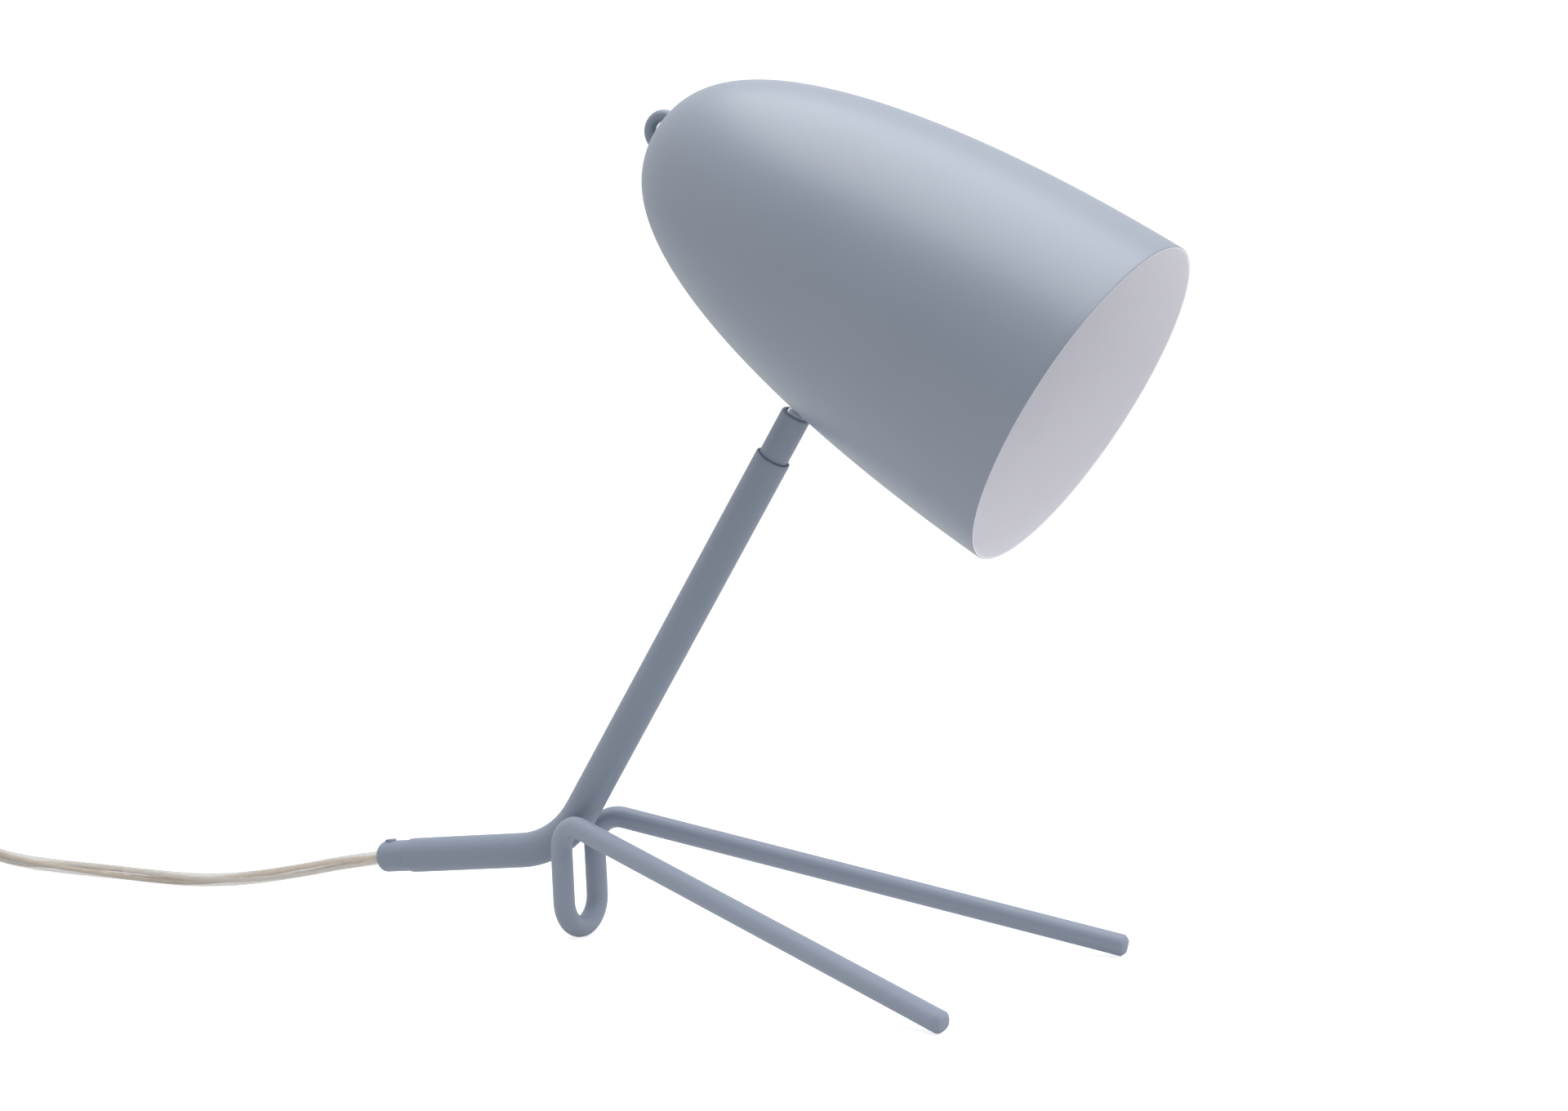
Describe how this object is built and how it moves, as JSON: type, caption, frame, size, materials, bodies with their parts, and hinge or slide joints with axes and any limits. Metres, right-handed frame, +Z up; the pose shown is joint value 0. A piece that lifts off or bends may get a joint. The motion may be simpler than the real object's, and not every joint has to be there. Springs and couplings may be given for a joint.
{
  "type": "desk lamp",
  "caption": "Small desk lamp: leaning stem on a bent-rod tripod, bullet shade on a ball joint, rear cord outlet.",
  "frame": {"origin": "middle of the lamp's own bounding box on the surface it stands on, cord left out", "axes": "+X towards the front feet and the shade's mouth, +Y to the lamp's left, +Z up"},
  "size_m": [0.6447, 0.2016, 0.3129],
  "materials": {
    "body_paint": "satin blue-grey stove enamel on steel",
    "shade_paint": "satin blue-grey enamel outside, paler matte grey inside",
    "chrome": "polished",
    "zinc_steel": "zinc plated",
    "brass": "bare, slightly dull",
    "bulb_metal": "pressed screw cap",
    "nickel_pin": "nickel plated",
    "nylon": "natural nylon",
    "white_plastic": "moulded, light grain",
    "rocker_plastic": "moulded, pale grey",
    "clear_cable": "clear twin flex over tinned and bare copper strands",
    "opal_glass": "white coated, satin",
    "tie_strap": "black hook strap"
  },
  "bodies": {
    "base": {"stem_tube": "body_paint", "leg_frame": "body_paint", "cord_gland": "body_paint", "gland_screw": "body_paint", "neck_tube": "body_paint", "seat_spring": "zinc_steel", "stem_cable": "clear_cable", "cord_lamp": "clear_cable", "switch_lower": "white_plastic", "switch_upper": "white_plastic", "switch_screw_a": "zinc_steel", "switch_screw_b": "zinc_steel", "cord_switch": "clear_cable", "cord_coil": "clear_cable", "coil_tie": "tie_strap", "cord_tail": "clear_cable", "plug_body": "white_plastic", "plug_pin_a": "nickel_pin", "plug_pin_b": "nickel_pin"},
    "joint_seat": {"ball_seat": "nylon"},
    "shade": {"ball_stud": "chrome", "stud_gasket": "nylon", "stud_washer": "zinc_steel", "stud_nut": "zinc_steel", "shade_shell": "shade_paint", "tip_loop": "body_paint", "tip_screw_a": "zinc_steel", "tip_screw_b": "zinc_steel", "holder_bracket": "zinc_steel", "holder_nipple": "zinc_steel", "holder_nut": "zinc_steel", "lampholder_cap": "white_plastic", "lampholder_body": "white_plastic", "lampholder_shell": "brass", "lampholder_contact": "brass", "holder_lead": "clear_cable"},
    "bulb": {"bulb_cap": "bulb_metal", "bulb_glass": "opal_glass"},
    "rocker": {"switch_rocker": "rocker_plastic"}
  },
  "joints": [
    {"name": "shade_swivel", "type": "hinge", "parent": "base", "child": "joint_seat", "pos_m": [0.02171, 0, 0.19432], "axis": [0.5255, 0, 0.8508], "range_deg": [-170, 170]},
    {"name": "shade_tilt", "type": "hinge", "parent": "joint_seat", "child": "shade", "pos_m": [0.02171, 0, 0.19432], "axis": [-0.0889, 0.9945, 0.0549], "range_deg": [-38, 22]},
    {"name": "bulb_draw", "type": "slide", "parent": "shade", "child": "bulb", "axis": [0.8516, 0.1045, -0.5136], "range_m": [0, 0.11]},
    {"name": "rocker_tilt", "type": "hinge", "parent": "base", "child": "rocker", "pos_m": [-0.40627, -0.00983, 0.0134], "axis": [-0.0436, 0.999, 0], "range_deg": [0, 16]}
  ]
}
